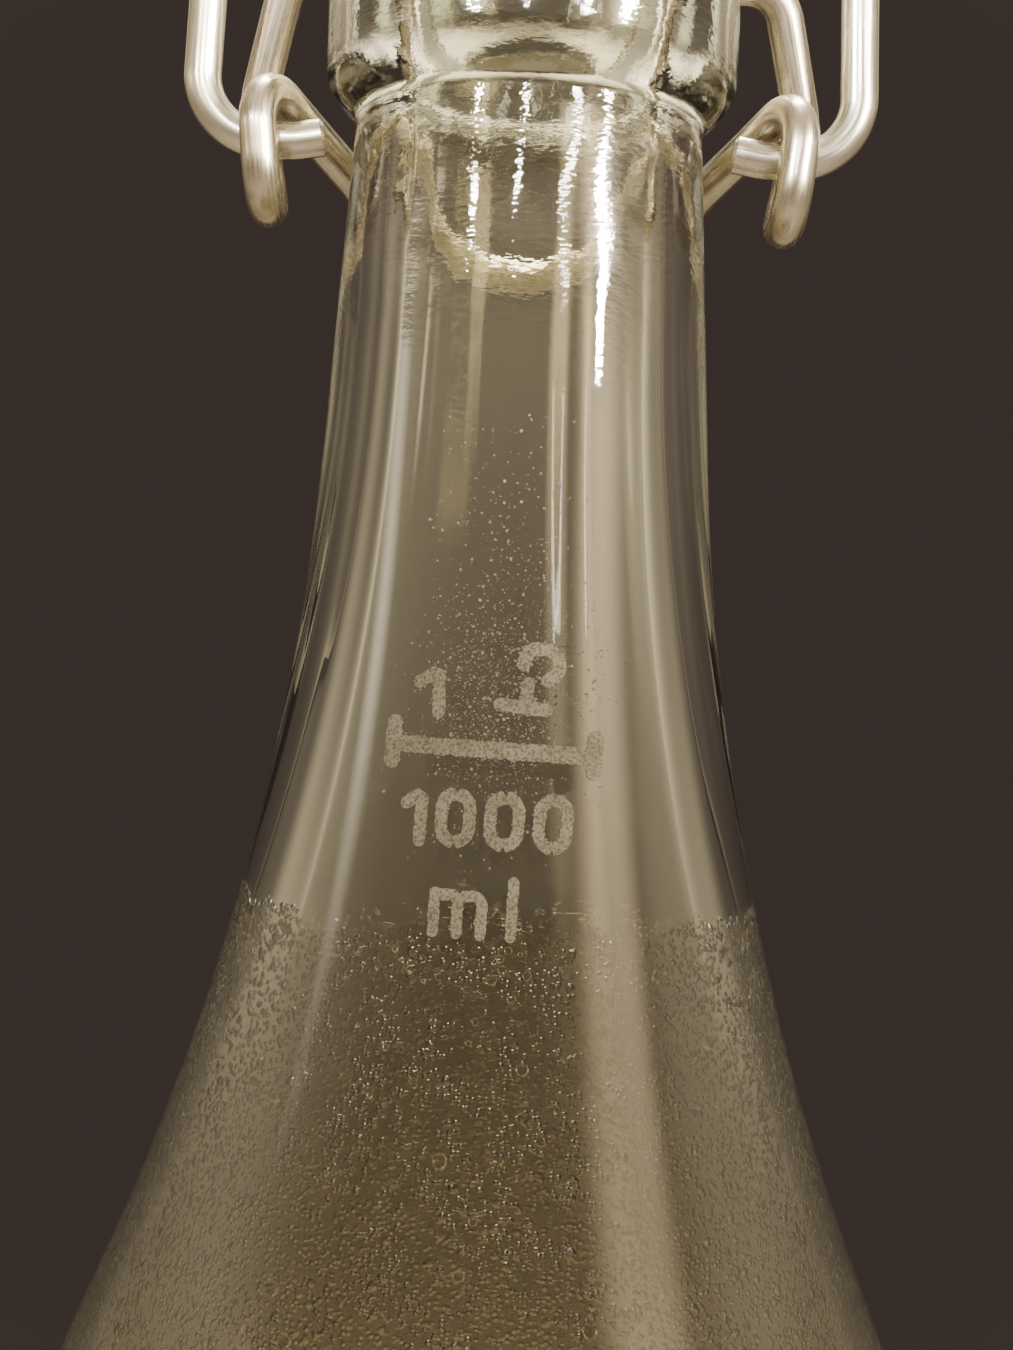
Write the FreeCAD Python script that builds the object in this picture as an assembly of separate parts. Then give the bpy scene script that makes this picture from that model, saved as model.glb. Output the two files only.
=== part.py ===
import FreeCAD, Part
import math
import os

# A one litre swing-top bottle: hollow glass, with a porcelain stopper that two bent wires pull down.
# Millimetres, +Z up, origin at the centre of the standing ring. The front faces -Y, the thumb loop +Y.

# Glass body and shoulder
BODY_DIAMETER = 88.0
NECK_TOP_HEIGHT = 294.0
WALL = 3.2
HEEL_RADIUS = 7.0
INNER_HEEL_RADIUS = 11.0
FLOOR_HEIGHT = 6.0
PUNT_RADIUS = 33.0
PUNT_HEIGHT = 6.5
BASE_THICKNESS = 5.5
SHOULDER_ANGLE = 22.0
SHOULDER_BLEND = 150.0
NECK_BLEND = 185.0
NECK_TAPER = 3.4
NECK_LENGTH = 56.0
BLEND_RUN_SHARE = 0.47
FILL_LINE_DROP = 46.5

# Neck, mouth and finish
NECK_TOP_DIAMETER = 26.0
BORE_DIAMETER = 17.5
BORE_BLEND = 180.0
FINISH_DIAMETER = 31.0
FINISH_HEIGHT = 21.0
BEAD_UNDERSIDE_RISE = 1.5
BEAD_ROUND = 4.0
BEAD_ROOT_ROUND = 1.0
LIP_ROUND = 3.0
MOUTH_DIAMETER = 18.6
MOUTH_TAPER_LENGTH = 6.0
MOUTH_ROUND = 1.2
PIVOT_BELOW_LIP = 10.0
DIMPLE_DEPTH = 3.5

# Wires
WIRE_DIAMETER = 2.8
DIMPLE_CLEARANCE = 0.9
PIVOT_END_GAP = 0.9
ARM_LENGTH = 13.2
OVER_CENTRE = 1.0
ARM_SIDE_GAP = 1.5
ARM_BEND = 3.0
HOOK_CLEARANCE = 0.35
EYE_SIDE_CLEARANCE = 0.5
EYE_SLACK = 2.2
EYE_BEND = 3.0
EYE_KNEE_HEIGHT = 3.0
EYE_KNEE_BEND = 8.0
EYE_LOW_SPREAD = -0.5
EYE_FRONT_SPREAD = 0.5
EYE_BACK_SPREAD = 1.1
HANDLE_SLOPE = 21.0
HANDLE_SIDE_GAP = 0.1
HANDLE_START = 3.5
HANDLE_START_BEND = 8.0
HANDLE_KNEE = 10.7
HANDLE_KNEE_INSET = 3.6
HANDLE_KNEE_BEND = 10.0
LOOP_SLOPE = 36.0
LOOP_NECK_GAP = 4.2
LOOP_INSET = 8.0
LOOP_BEND = 12.0
LEG_SIDE_GAP = 1.0
LEG_LEAN = 1.0
HOOK_BEND = 4.8
HOOK_TIP_GAP = 2.2
HOOK_TIP_LENGTH = 2.2
HOOK_TIP_RISE = 0.4
HOOK_TIP_BEND = 5.0
BAIL_TOP_BEND = 5.0

# Stopper and seal
SEAL_GAP = 0.3
SEAL_DIAMETER = 25.0
SEAL_THICKNESS = 5.0
SEAL_EDGE_ROUND = 1.0
SPIGOT_DIAMETER = 9.2
SPIGOT_CLEARANCE = 0.1
PLUG_DIAMETER = 11.2
PLUG_TIP_DIAMETER = 9.6
PLUG_LENGTH = 3.7
PLUG_ROUND = 1.0
HEAD_DIAMETER = 24.0
HEAD_TOP_DIAMETER = 21.0
HEAD_HEIGHT = 13.5
HEAD_RIM_ROUND = 1.2
HEAD_TOP_ROUND = 5.0
BAR_ABOVE_SEAL = 7.0
BAR_CLEARANCE = 0.35
BAR_HOLE_FLARE = 0.8

# Places that follow from the sizes
body_radius = BODY_DIAMETER / 2
neck_top_radius = NECK_TOP_DIAMETER / 2
bore_radius = BORE_DIAMETER / 2
finish_radius = FINISH_DIAMETER / 2
wire_radius = WIRE_DIAMETER / 2
lip_height = NECK_TOP_HEIGHT + FINISH_HEIGHT
fill_line_height = NECK_TOP_HEIGHT - FILL_LINE_DROP
pivot_height = lip_height - PIVOT_BELOW_LIP
hook_y = -OVER_CENTRE
hook_height = pivot_height - ARM_LENGTH
dimple_radius = wire_radius + DIMPLE_CLEARANCE
arm_x = finish_radius + ARM_SIDE_GAP + wire_radius
handle_x = finish_radius + HANDLE_SIDE_GAP + wire_radius
eye_x = handle_x + WIRE_DIAMETER
eye_back_x = eye_x + EYE_BACK_SPREAD
seal_bottom = lip_height + SEAL_GAP
seal_top = seal_bottom + SEAL_THICKNESS
bar_height = seal_top + BAR_ABOVE_SEAL
shoulder_turn = math.radians(SHOULDER_ANGLE)
shoulder_slope = math.tan(shoulder_turn)
neck_foot_height = NECK_TOP_HEIGHT - NECK_LENGTH
neck_foot_radius = neck_top_radius + NECK_LENGTH * math.tan(math.radians(NECK_TAPER))

AXIS_POINT = FreeCAD.Vector(0, 0, 0)
UP = FreeCAD.Vector(0, 0, 1)
ACROSS = FreeCAD.Vector(1, 0, 0)


def rounded_path(corners):
    """Straight runs through the corners, with a tangent arc at each one (radius 0 keeps it sharp)."""
    edges = []
    start = corners[0][0]
    for (before, _), (corner, radius), (after, _) in zip(corners, corners[1:], corners[2:]):
        if radius == 0:
            edges.append(Part.LineSegment(start, corner).toShape())
            start = corner
            continue
        back = (before - corner).normalize()
        ahead = (after - corner).normalize()
        half_turn = (math.pi - back.getAngle(ahead)) / 2
        tangent = radius * math.tan(half_turn)
        inward = (back + ahead).normalize()
        middle = corner + inward * (radius / math.cos(half_turn) - radius)
        arc_start = corner + back * tangent
        arc_end = corner + ahead * tangent
        edges.append(Part.LineSegment(start, arc_start).toShape())
        edges.append(Part.Arc(arc_start, middle, arc_end).toShape())
        start = arc_end
    edges.append(Part.LineSegment(start, corners[-1][0]).toShape())
    return edges


def turned(outline):
    """Solid turned about Z from (radius, height, corner radius) points, from the axis to the axis."""
    corners = [(FreeCAD.Vector(radius, 0, height), rounding) for radius, height, rounding in outline]
    edges = rounded_path(corners)
    edges.append(Part.LineSegment(corners[-1][0], corners[0][0]).toShape())
    return Part.Face(Part.Wire(edges)).revolve(AXIS_POINT, UP, 360)


def bent_wire(name, corners):
    """Round wire along a bent path, checked against its section times its length."""
    path = Part.Wire(rounded_path(corners))
    start = corners[0][0]
    section = Part.Wire(Part.Circle(start, corners[1][0] - start, wire_radius).toShape())
    solid = Part.Solid(path.makePipeShell([section], True, False))
    expected = math.pi * wire_radius ** 2 * path.Length
    print(f"{name}: {path.Length:.1f} mm of wire, volume {solid.Volume:.1f} of {expected:.1f} mm3")
    return solid


def mirrored_path(half):
    """The corners of one half, then the same corners mirrored across X in the opposite order."""
    other = [(FreeCAD.Vector(-point.x, point.y, point.z), radius) for point, radius in reversed(half)]
    return half + other


def blend_within(radius, across, turn):
    """The blend's radius, held to its share of the sloping run that spans the distance across."""
    run = across / math.sin(shoulder_turn)
    return min(radius, BLEND_RUN_SHARE * run / math.tan(turn / 2))


def shoulder_height(radius, inset):
    """Height where the shoulder's cone, moved inward by inset, has the given radius."""
    inset_across = inset / math.cos(shoulder_turn)
    return neck_foot_height - (radius + inset_across - neck_foot_radius) / shoulder_slope


def punt_sphere(offset):
    """Sphere that arches the base up from the standing ring, grown by offset for the inside."""
    radius = (PUNT_RADIUS ** 2 + PUNT_HEIGHT ** 2) / (2 * PUNT_HEIGHT)
    return Part.makeSphere(radius + offset, FreeCAD.Vector(0, 0, PUNT_HEIGHT - radius))


def bottle_cavity():
    """The space inside the bottle, up past the lip."""
    inner_radius = body_radius - WALL
    inner_span = inner_radius - bore_radius
    inner_blend = blend_within(SHOULDER_BLEND - WALL, inner_span, shoulder_turn)
    bore_blend = blend_within(BORE_BLEND, inner_span, shoulder_turn)
    cavity = turned([
        (0, FLOOR_HEIGHT, 0),
        (inner_radius, FLOOR_HEIGHT, INNER_HEEL_RADIUS),
        (inner_radius, shoulder_height(inner_radius, WALL), inner_blend),
        (bore_radius, shoulder_height(bore_radius, WALL), bore_blend),
        (bore_radius, lip_height - MOUTH_TAPER_LENGTH, 0),
        (MOUTH_DIAMETER / 2, lip_height, MOUTH_ROUND),
        (finish_radius, lip_height, 0),
        (finish_radius, lip_height + LIP_ROUND, 0),
        (0, lip_height + LIP_ROUND, 0),
    ])
    return cavity.cut(punt_sphere(BASE_THICKNESS))


def dimple(side):
    """Round blind recess for one pivot end of the lever, side +1 or -1 along X."""
    bottom = FreeCAD.Vector(side * (finish_radius - DIMPLE_DEPTH + dimple_radius), 0, pivot_height)
    hole = Part.makeCylinder(dimple_radius, DIMPLE_DEPTH, bottom, ACROSS * side)
    return hole.fuse(Part.makeSphere(dimple_radius, bottom))


def glass_bottle():
    outer_span = body_radius - neck_foot_radius
    shoulder_blend = blend_within(SHOULDER_BLEND, outer_span, shoulder_turn)
    neck_blend = blend_within(NECK_BLEND, outer_span, shoulder_turn - math.radians(NECK_TAPER))
    glass = turned([
        (0, 0, 0),
        (body_radius, 0, HEEL_RADIUS),
        (body_radius, shoulder_height(body_radius, 0), shoulder_blend),
        (neck_foot_radius, neck_foot_height, neck_blend),
        (neck_top_radius, NECK_TOP_HEIGHT, BEAD_ROOT_ROUND),
        (finish_radius, NECK_TOP_HEIGHT + BEAD_UNDERSIDE_RISE, BEAD_ROUND),
        (finish_radius, lip_height, LIP_ROUND),
        (0, lip_height, 0),
    ])
    cavity = bottle_cavity()
    below_line = Part.makeBox(
        BODY_DIAMETER, BODY_DIAMETER, fill_line_height, FreeCAD.Vector(-body_radius, -body_radius, 0)
    )
    print(f"holds {cavity.common(below_line).Volume / 1000:.1f} ml up to the fill line")
    return glass.cut(cavity).cut(punt_sphere(0)).cut(dimple(1)).cut(dimple(-1))


def lever_wire():
    """Pivot end in the dimple, arm, eye round the bail's hook, then the thumb loop behind the neck."""
    slope = math.radians(HANDLE_SLOPE)
    over_hook = (WIRE_DIAMETER + HOOK_CLEARANCE) / math.cos(slope)
    eye_half_depth = WIRE_DIAMETER + EYE_SIDE_CLEARANCE
    back_y = hook_y + eye_half_depth
    front_y = hook_y - eye_half_depth
    handle_y = hook_y + HANDLE_START
    knee_y = hook_y + HANDLE_KNEE
    loop_y = neck_top_radius + LOOP_NECK_GAP + wire_radius
    eye_bottom = hook_height - WIRE_DIAMETER - EYE_SLACK
    eye_knee_height = hook_height + EYE_KNEE_HEIGHT
    pivot_end_x = finish_radius - DIMPLE_DEPTH + PIVOT_END_GAP

    def on_handle_slope(x, y):
        height = hook_height + over_hook - (y - hook_y) * math.tan(slope)
        return FreeCAD.Vector(x, y, height)

    handle_knee = on_handle_slope(handle_x - HANDLE_KNEE_INSET, knee_y)
    loop_height = handle_knee.z - (loop_y - knee_y) * math.tan(math.radians(LOOP_SLOPE))
    half = [
        (FreeCAD.Vector(pivot_end_x, 0, pivot_height), 0),
        (FreeCAD.Vector(arm_x, 0, pivot_height), ARM_BEND),
        (FreeCAD.Vector(eye_back_x, back_y, eye_knee_height), EYE_KNEE_BEND),
        (FreeCAD.Vector(eye_x + EYE_LOW_SPREAD, back_y, eye_bottom), EYE_BEND),
        (FreeCAD.Vector(eye_x + EYE_LOW_SPREAD, front_y, eye_bottom), EYE_BEND),
        (on_handle_slope(eye_x + EYE_FRONT_SPREAD, front_y), EYE_BEND),
        (on_handle_slope(handle_x, handle_y), HANDLE_START_BEND),
        (handle_knee, HANDLE_KNEE_BEND),
        (FreeCAD.Vector(handle_x - LOOP_INSET, loop_y, loop_height), LOOP_BEND),
    ]
    return bent_wire("lever_wire", mirrored_path(half))


def bail_wire():
    """Hooked end through the lever's eye, leg, and the bar that carries the stopper."""
    tip_x = neck_top_radius + HOOK_TIP_GAP
    leg_x = eye_back_x + WIRE_DIAMETER + LEG_SIDE_GAP
    half = [
        (FreeCAD.Vector(tip_x, hook_y, hook_height + HOOK_TIP_RISE), 0),
        (FreeCAD.Vector(tip_x + HOOK_TIP_LENGTH, hook_y, hook_height), HOOK_TIP_BEND),
        (FreeCAD.Vector(leg_x, hook_y, hook_height), HOOK_BEND),
        (FreeCAD.Vector(leg_x - LEG_LEAN, 0, bar_height), BAIL_TOP_BEND),
    ]
    return bent_wire("bail_wire", mirrored_path(half))


def stopper():
    spigot_radius = SPIGOT_DIAMETER / 2
    plug_top = seal_bottom - SPIGOT_CLEARANCE
    plug_bottom = plug_top - PLUG_LENGTH
    head_top = seal_top + HEAD_HEIGHT
    body = turned([
        (0, plug_bottom, 0),
        (PLUG_TIP_DIAMETER / 2, plug_bottom, PLUG_ROUND),
        (PLUG_DIAMETER / 2, plug_top, 0),
        (spigot_radius, plug_top, 0),
        (spigot_radius, seal_top, 0),
        (HEAD_DIAMETER / 2, seal_top, HEAD_RIM_ROUND),
        (HEAD_TOP_DIAMETER / 2, head_top, HEAD_TOP_ROUND),
        (0, head_top, 0),
    ])
    hole_radius = wire_radius + BAR_CLEARANCE
    half_length = HEAD_DIAMETER / 2
    hole_end = FreeCAD.Vector(-half_length, 0, bar_height)
    hole = Part.makeCylinder(hole_radius, 2 * half_length, hole_end, ACROSS)
    body = body.cut(hole)
    head_slope = (HEAD_DIAMETER - HEAD_TOP_DIAMETER) / 2 / HEAD_HEIGHT
    side_x = half_length - BAR_ABOVE_SEAL * head_slope
    for side in (1, -1):
        flare = Part.makeCone(
            hole_radius,
            hole_radius + 2 * BAR_HOLE_FLARE,
            2 * BAR_HOLE_FLARE,
            FreeCAD.Vector(side * (side_x - BAR_HOLE_FLARE), 0, bar_height),
            ACROSS * side,
        )
        body = body.cut(flare)
    return body


def seal_washer():
    outer = turned([
        (0, seal_bottom, 0),
        (SEAL_DIAMETER / 2, seal_bottom, SEAL_EDGE_ROUND),
        (SEAL_DIAMETER / 2, seal_top, SEAL_EDGE_ROUND),
        (0, seal_top, 0),
    ])
    spigot_hole = Part.makeCylinder(
        SPIGOT_DIAMETER / 2 + SPIGOT_CLEARANCE, SEAL_THICKNESS, FreeCAD.Vector(0, 0, seal_bottom)
    )
    return outer.cut(spigot_hole)


os.makedirs("parts", exist_ok=True)
for make_piece in (glass_bottle, lever_wire, bail_wire, stopper, seal_washer):
    shape = make_piece()
    print(f"{make_piece.__name__}: valid {shape.isValid()}, {len(shape.Solids)} solid")
    shape.exportStep(f"parts/{make_piece.__name__}.step")
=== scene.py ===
import math
import random

import bmesh
import bpy
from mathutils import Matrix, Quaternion, Vector, noise


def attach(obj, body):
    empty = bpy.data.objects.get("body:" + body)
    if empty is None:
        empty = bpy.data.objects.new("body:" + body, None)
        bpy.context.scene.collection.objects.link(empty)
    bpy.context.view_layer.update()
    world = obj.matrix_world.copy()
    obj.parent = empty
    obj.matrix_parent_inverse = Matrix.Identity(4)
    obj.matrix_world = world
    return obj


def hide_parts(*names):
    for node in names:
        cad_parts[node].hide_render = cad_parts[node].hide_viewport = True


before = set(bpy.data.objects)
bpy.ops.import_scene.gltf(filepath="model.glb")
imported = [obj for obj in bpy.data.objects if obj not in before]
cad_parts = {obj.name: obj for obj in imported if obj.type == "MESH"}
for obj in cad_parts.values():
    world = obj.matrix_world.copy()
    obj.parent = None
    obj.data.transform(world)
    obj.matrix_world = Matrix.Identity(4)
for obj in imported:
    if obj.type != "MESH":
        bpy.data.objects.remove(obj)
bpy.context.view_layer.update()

scene = bpy.context.scene
MM = 0.001

# Bottle sizes in millimetres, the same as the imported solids
BODY_RADIUS = 44.0
WALL = 3.2
HEEL_RADIUS = 7.0
INNER_HEEL_RADIUS = 11.0
FLOOR_HEIGHT = 6.0
PUNT_RADIUS = 33.0
PUNT_HEIGHT = 6.5
BASE_THICKNESS = 5.5
SHOULDER_ANGLE = math.radians(22.0)
SHOULDER_BLEND = 150.0
NECK_BLEND = 185.0
NECK_TAPER = math.radians(3.4)
NECK_LENGTH = 56.0
NECK_TOP_RADIUS = 13.0
NECK_TOP_HEIGHT = 294.0
FINISH_RADIUS = 15.5
BEAD_UNDERSIDE_RISE = 1.5
BEAD_ROUND = 4.0
BEAD_ROOT_ROUND = 1.0
LIP_HEIGHT = 315.0
LIP_ROUND = 3.0
MOUTH_RADIUS = 9.3
MOUTH_ROUND = 1.2
MOUTH_TAPER_LENGTH = 6.0
BORE_RADIUS = 8.75
BORE_BLEND = 180.0
PIVOT_HEIGHT = 305.0
DIMPLE_RADIUS = 2.3
DIMPLE_DEPTH = 3.5
FILL_LINE_HEIGHT = 247.5

# Closure sizes in millimetres
WIRE_RADIUS = 1.4
HOOK_Y = -1.0
HOOK_HEIGHT = 291.8
HANDLE_SLOPE = math.radians(21.0)
LOOP_SLOPE = math.radians(36.0)
HANDLE_KNEE_Y = 9.7
LOOP_Y = 18.6
HOOK_CLEARANCE = 0.35
BAR_HEIGHT = 327.3
BAR_HOLE_RADIUS = 1.75
BAR_HOLE_FLARE = 1.6
SEAL_BOTTOM = 315.3
SEAL_TOP = 320.3
SEAL_RADIUS = 12.5
SEAL_HOLE_RADIUS = 4.7
SEAL_EDGE_ROUND = 1.0
SPIGOT_RADIUS = 4.6
PLUG_BOTTOM = 311.5
PLUG_TOP = 315.2
PLUG_RADIUS = 5.6
PLUG_TIP_RADIUS = 4.8
HEAD_RADIUS = 12.0
HEAD_TOP_RADIUS = 10.5
HEAD_TOP = 333.8
HEAD_TOP_ROUND = 5.0
HEAD_RIM_ROUND = 1.2

# The photograph's view: image height and focal length in pixels, distances in millimetres,
# roll in degrees
IMAGE_HEIGHT = 1350
FOCAL_PIXELS = 2061.0
CAMERA_DISTANCE = 155.0
CAMERA_HEIGHT = 252.6
CAMERA_ROLL = -2.4
NEAREST_SEEN = 5.0
SENSOR_LONG_SIDE = 36.0

# How finely the pieces are divided: sides around, and longest steps in millimetres
BOTTLE_SIDES = 256
BOTTLE_STEP = 1.2
STOPPER_SIDES = 128
STOPPER_STEP = 0.5
SEAL_STEP = 0.4
WIRE_SIDES = 32
WIRE_STEP = 0.3
CUTTER_SIDES = 64
DIMPLE_STEP = 0.4


# Outlines and meshes

def rounded_points(corners, longest):
    """Points along straight runs and tangent arcs, no further apart than longest.

    Each corner is (point, radius)."""
    points = [corners[0][0]]

    def run_to(end):
        start = points[-1]
        distance = (end - start).length
        if distance < 1e-6:
            return
        steps = math.ceil(distance / longest)
        points.extend(start.lerp(end, step / steps) for step in range(1, steps + 1))

    for (before, _), (corner, radius), (after, _) in zip(corners, corners[1:], corners[2:]):
        if radius == 0:
            run_to(corner)
            continue
        back = (before - corner).normalized()
        ahead = (after - corner).normalized()
        half_turn = (math.pi - back.angle(ahead)) / 2
        centre = corner + (back + ahead).normalized() * (radius / math.cos(half_turn))
        arc_start = corner + back * (radius * math.tan(half_turn))
        run_to(arc_start)
        across = (arc_start - centre).normalized()
        steps = max(6, math.ceil(2 * half_turn * radius / longest))
        for step in range(1, steps + 1):
            angle = 2 * half_turn * step / steps
            points.append(centre + (across * math.cos(angle) - back * math.sin(angle)) * radius)
    run_to(corners[-1][0])
    return points


def outline(corners, longest):
    """Points of a turned outline from (radius, height, corner radius) rows."""
    placed = [(Vector((radius, 0, height)), rounding) for radius, height, rounding in corners]
    return rounded_points(placed, longest)


def even_angles(sides):
    return [2 * math.pi * side / sides for side in range(sides)]


def turned_mesh(name, profile, angles, moved=None, closed=False):
    """Mesh turned about Z; moved(index, angle, radius, height) gives a changed radius."""
    vertices = []
    rings = []
    for index, point in enumerate(profile):
        if point.x < 1e-6:
            rings.append([len(vertices)])
            vertices.append((0, 0, point.z * MM))
            continue
        rings.append(list(range(len(vertices), len(vertices) + len(angles))))
        for angle in angles:
            radius = moved(index, angle, point.x, point.z) if moved else point.x
            vertices.append((radius * math.cos(angle) * MM, radius * math.sin(angle) * MM, point.z * MM))
    faces = []
    for lower, upper in zip(rings, rings[1:] + rings[:1] if closed else rings[1:]):
        for side in range(len(angles)):
            after = (side + 1) % len(angles)
            if len(lower) == 1:
                faces.append((lower[0], upper[after], upper[side]))
            elif len(upper) == 1:
                faces.append((lower[side], lower[after], upper[0]))
            else:
                faces.append((lower[side], lower[after], upper[after], upper[side]))
    mesh = bpy.data.meshes.new(name)
    mesh.from_pydata(vertices, [], faces)
    return mesh


def add_strip(shape, first, second):
    """Four-sided faces between two rows of vertices."""
    for near, far in zip(zip(first, first[1:]), zip(second, second[1:])):
        shape.faces.new((near[0], near[1], far[1], far[0]))


def mesh_of(name, shape):
    """The finished mesh of a shape built in bmesh, with its faces turned outward."""
    bmesh.ops.recalc_face_normals(shape, faces=shape.faces)
    mesh = bpy.data.meshes.new(name)
    shape.to_mesh(mesh)
    shape.free()
    return mesh


def add_object(name, mesh):
    piece = bpy.data.objects.new(name, mesh)
    scene.collection.objects.link(piece)
    return piece


def dressed(piece, materials=(), sharp_angle=40):
    """Smooth shading with the sharp edges kept, and the piece's materials in order."""
    mesh = piece.data
    for material in materials:
        mesh.materials.append(material)
    mesh.shade_smooth()
    mesh.set_sharp_from_angle(angle=math.radians(sharp_angle))
    return piece


def cut_away(piece, cutters):
    """Subtract the cutter objects from the piece's mesh and remove them."""
    for cutter in cutters:
        boolean = piece.modifiers.new("cut", "BOOLEAN")
        boolean.operation = "DIFFERENCE"
        boolean.solver = "EXACT"
        boolean.object = cutter
    graph = bpy.context.evaluated_depsgraph_get()
    cut_mesh = bpy.data.meshes.new_from_object(piece.evaluated_get(graph))
    piece.modifiers.clear()
    whole_mesh = piece.data
    cut_mesh.name = whole_mesh.name
    piece.data = cut_mesh
    bpy.data.meshes.remove(whole_mesh)
    for cutter in cutters:
        cutter_mesh = cutter.data
        bpy.data.objects.remove(cutter)
        bpy.data.meshes.remove(cutter_mesh)


def cutter_along_x(name, profile, height, side=1):
    """A turned cutter laid along X at the given height, pointing to side +1 or -1."""
    mesh = turned_mesh(name, profile, even_angles(CUTTER_SIDES))
    for vertex in mesh.vertices:
        across, depth, along = vertex.co
        vertex.co = (side * along, side * depth, height * MM - across)
    return add_object(name, mesh)


def place(piece, body, slot, *nodes):
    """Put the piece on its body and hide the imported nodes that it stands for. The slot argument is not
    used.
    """
    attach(piece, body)
    if nodes:
        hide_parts(*nodes)


# Shader building

class Wiring:
    """Adds nodes to a node tree and joins their sockets."""

    def __init__(self, tree):
        self.tree = tree

    def node(self, kind, **settings):
        """A node; each setting is one of its properties, or an input whose spaces are underscores."""
        made = self.tree.nodes.new(kind)
        for key, value in settings.items():
            if hasattr(made, key):
                setattr(made, key, value)
            elif isinstance(value, bpy.types.NodeSocket):
                self.join(value, made.inputs[key.replace("_", " ")])
            else:
                made.inputs[key.replace("_", " ")].default_value = value
        return made

    def join(self, output, target):
        self.tree.links.new(output, target)

    def math(self, operation, first, second=0.0):
        made = self.node("ShaderNodeMath", operation=operation)
        for socket, value in zip(made.inputs, (first, second)):
            if isinstance(value, bpy.types.NodeSocket):
                self.join(value, socket)
            else:
                socket.default_value = value
        return made.outputs[0]

    def ramp(self, value, start, end, low=0.0, high=1.0):
        """Value eased from low at start to high at end."""
        return self.node(
            "ShaderNodeMapRange", interpolation_type="SMOOTHSTEP", Value=value,
            From_Min=start, From_Max=end, To_Min=low, To_Max=high,
        ).outputs["Result"]

    def blend(self, share, first, second):
        """Colour mixed from first to second by share."""
        made = self.node("ShaderNodeMix", data_type="RGBA")
        for index, value in ((0, share), (6, first), (7, second)):
            if isinstance(value, bpy.types.NodeSocket):
                self.join(value, made.inputs[index])
            else:
                made.inputs[index].default_value = value
        return made.outputs[2]

    def object_place(self):
        return self.node("ShaderNodeTexCoord").outputs["Object"]

    def noise(self, scale, detail, spot=None):
        """Noise from 0 to 1 over the object's own space, or over the spot vector if one is given."""
        if spot is None:
            spot = self.object_place()
        return self.node("ShaderNodeTexNoise", Vector=spot, Scale=scale, Detail=detail).outputs["Fac"]

    def bump(self, shader, strength, distance, relief):
        """Raise the shader's surface by the relief; distance is in metres."""
        raised = self.node("ShaderNodeBump", Strength=strength, Distance=distance, Height=relief)
        self.join(raised.outputs["Normal"], shader.inputs["Normal"])

    def height(self):
        """Height above the standing ring in metres."""
        return self.node("ShaderNodeSeparateXYZ", Vector=self.object_place()).outputs["Z"]

    def group(self, tree, **inputs):
        made = self.node("ShaderNodeGroup", node_tree=tree)
        for key, value in inputs.items():
            made.inputs[key].default_value = value
        return made.outputs


def colour(red, green, blue):
    return (red, green, blue, 1.0)


def new_material(name):
    """A material, its wiring and its Principled shader."""
    material = bpy.data.materials.new(name)
    material.use_nodes = True
    return material, Wiring(material.node_tree), material.node_tree.nodes["Principled BSDF"]


def effect_group(name, inputs, output):
    """An empty effect of numbers: its tree, its wiring, the inputs given to it and its output socket."""
    number = "NodeSocketFloat"
    tree = bpy.data.node_groups.new(name, "ShaderNodeTree")
    for label, value in inputs.items():
        tree.interface.new_socket(label, in_out="INPUT", socket_type=number).default_value = value
    tree.interface.new_socket(output, in_out="OUTPUT", socket_type=number)
    wiring = Wiring(tree)
    given = wiring.node("NodeGroupInput").outputs
    result = wiring.node("NodeGroupOutput").inputs[output]
    return tree, wiring, given, result


def cloudy_mottle_group():
    """Soft blotches from 0 to 1."""
    inputs = {"Scale": 300.0, "Detail": 4.0}
    tree, wiring, given, result = effect_group("cloudy_mottle", inputs, "Amount")
    blotches = wiring.noise(given["Scale"], given["Detail"])
    wiring.join(wiring.ramp(blotches, 0.3, 0.7), result)
    return tree


def fine_grain_group():
    """Fine even grain for a matt surface."""
    tree, wiring, given, result = effect_group("fine_grain", {"Scale": 4000.0}, "Height")
    wiring.join(wiring.noise(given["Scale"], 2.0), result)
    return tree


def round_drops_group():
    """Domes in scattered cells: Share of the cells hold one, Reach is a dome's radius in its cell."""
    inputs = {"Scale": 1700.0, "Share": 1.0, "Reach": 0.5}
    tree, wiring, given, result = effect_group("round_drops", inputs, "Height")
    cells = wiring.node("ShaderNodeTexVoronoi", Vector=wiring.object_place(), Scale=given["Scale"])
    chance = wiring.node("ShaderNodeSeparateColor", Color=cells.outputs["Color"]).outputs["Red"]
    nearness = wiring.math("DIVIDE", cells.outputs["Distance"], given["Reach"])
    hollow = wiring.math("MULTIPLY", nearness, nearness)
    dome = wiring.math("MAXIMUM", wiring.math("SUBTRACT", 1.0, hollow), 0.0)
    held = wiring.math("LESS_THAN", chance, given["Share"])
    wiring.join(wiring.math("MULTIPLY", dome, held), result)
    return tree


CLOUDY_MOTTLE = cloudy_mottle_group()
FINE_GRAIN = fine_grain_group()
ROUND_DROPS = round_drops_group()

# Materials; heights are in metres above the standing ring

GLASS_IOR = 1.52
WATER_IOR = 1.333
GLASS_TINT = colour(0.955, 0.958, 0.83)
MIST_STAIN = colour(0.44, 0.375, 0.26)
MIST_TOP = 0.2345
MIST_EDGE = 0.001
MIST_RAGGEDNESS = 0.010
MIST_FULL_BELOW = 0.150
MIST_GONE_BELOW = 0.060
MIST_ROUGHNESS = 0.16
MIST_RELIEF = 0.00010
RIPPLE_START = 0.266
RIPPLE_FULL = 0.290
RIPPLE_RELIEF = 0.000028
RIPPLE_STRETCH = (1100.0, 1100.0, 2600.0)
WAVE_WEIGHT = 20.0
FOLD_START = 0.272
FOLD_FULL = 0.296
FOLD_WEIGHT = 3.5


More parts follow.
